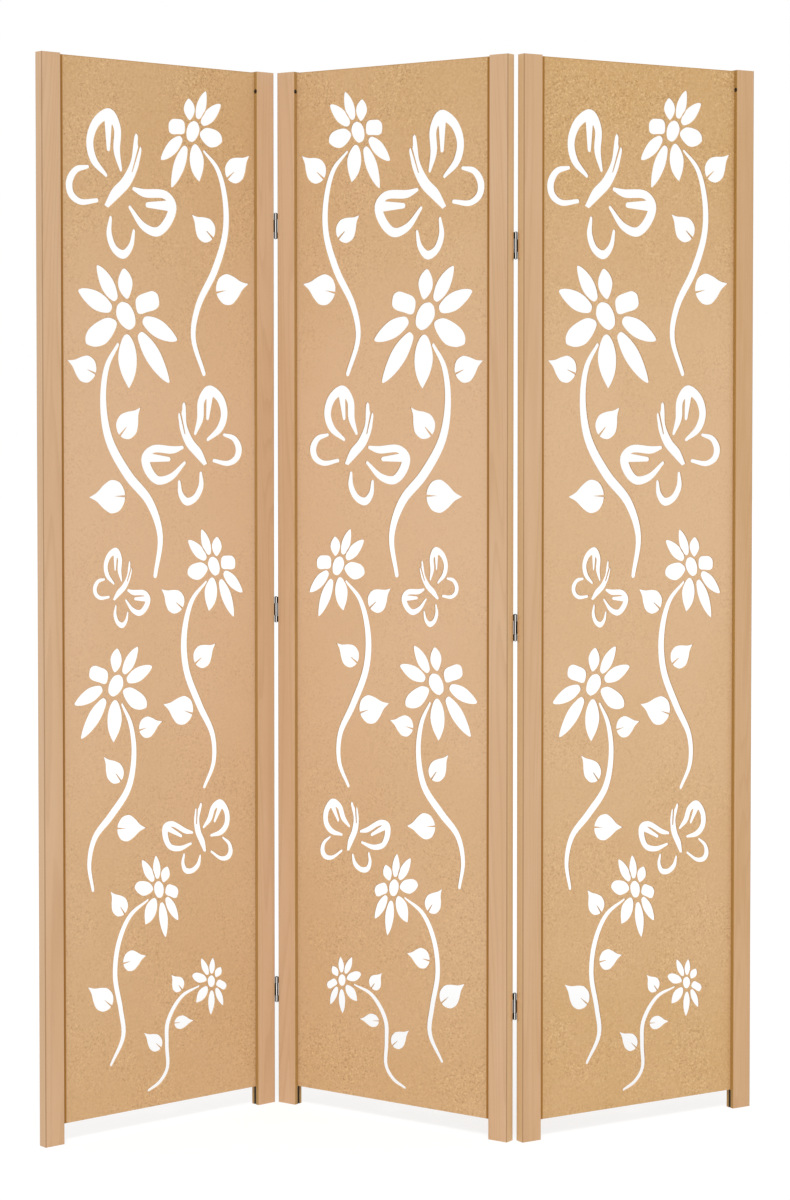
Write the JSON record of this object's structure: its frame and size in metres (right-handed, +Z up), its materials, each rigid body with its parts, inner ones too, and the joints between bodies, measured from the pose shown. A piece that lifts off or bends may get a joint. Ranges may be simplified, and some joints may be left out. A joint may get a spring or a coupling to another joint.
{
  "type": "folding room screen",
  "caption": "Free-standing folding room divider: fret-cut sheets held in grooved posts, panels joined by pin hinges into a zigzag.",
  "frame": {"origin": "on the floor, under the middle of the whole screen as it stands in its zigzag", "axes": "+Z up, +X to the viewer's right along the screen, +Y away from the viewer; the left fold opens towards -Y, the right fold towards +Y"},
  "size_m": [1.1396, 0.303, 1.7],
  "materials": {
    "fret_sheet_board": "bare fibreboard, matt",
    "post_pine": "planed softwood, thin clear coat",
    "hinge_leaf_steel": "nickel plated, black where no polish reaches",
    "hinge_pin_steel": "blackened"
  },
  "bodies": {
    "middle_panel": {"left_fold_bottom_pin": "hinge_pin_steel", "left_fold_bottom_pinned_leaf": "hinge_leaf_steel", "left_fold_middle_pin": "hinge_pin_steel", "left_fold_middle_pinned_leaf": "hinge_leaf_steel", "left_fold_top_pin": "hinge_pin_steel", "left_fold_top_pinned_leaf": "hinge_leaf_steel", "middle_fret_sheet": "fret_sheet_board", "middle_panel_left_post": "post_pine", "middle_panel_right_post": "post_pine", "right_fold_bottom_pin": "hinge_pin_steel", "right_fold_bottom_pinned_leaf": "hinge_leaf_steel", "right_fold_middle_pin": "hinge_pin_steel", "right_fold_middle_pinned_leaf": "hinge_leaf_steel", "right_fold_top_pin": "hinge_pin_steel", "right_fold_top_pinned_leaf": "hinge_leaf_steel"},
    "left_panel": {"left_fold_bottom_plain_leaf": "hinge_leaf_steel", "left_fold_middle_plain_leaf": "hinge_leaf_steel", "left_fold_top_plain_leaf": "hinge_leaf_steel", "left_fret_sheet": "fret_sheet_board", "left_panel_hinge_post": "post_pine", "left_panel_outer_post": "post_pine"},
    "right_panel": {"right_fold_bottom_plain_leaf": "hinge_leaf_steel", "right_fold_middle_plain_leaf": "hinge_leaf_steel", "right_fold_top_plain_leaf": "hinge_leaf_steel", "right_fret_sheet": "fret_sheet_board", "right_panel_hinge_post": "post_pine", "right_panel_outer_post": "post_pine"}
  },
  "joints": [
    {"name": "left_fold", "type": "hinge", "parent": "middle_panel", "child": "left_panel", "pos_m": [-0.21156, 0.13795, 0.85], "axis": [0, 0, 1], "range_deg": [-85, 105]},
    {"name": "right_fold", "type": "hinge", "parent": "middle_panel", "child": "right_panel", "pos_m": [0.17263, -0.10665, 0.85], "axis": [0, 0, 1], "range_deg": [-76, 114]}
  ]
}
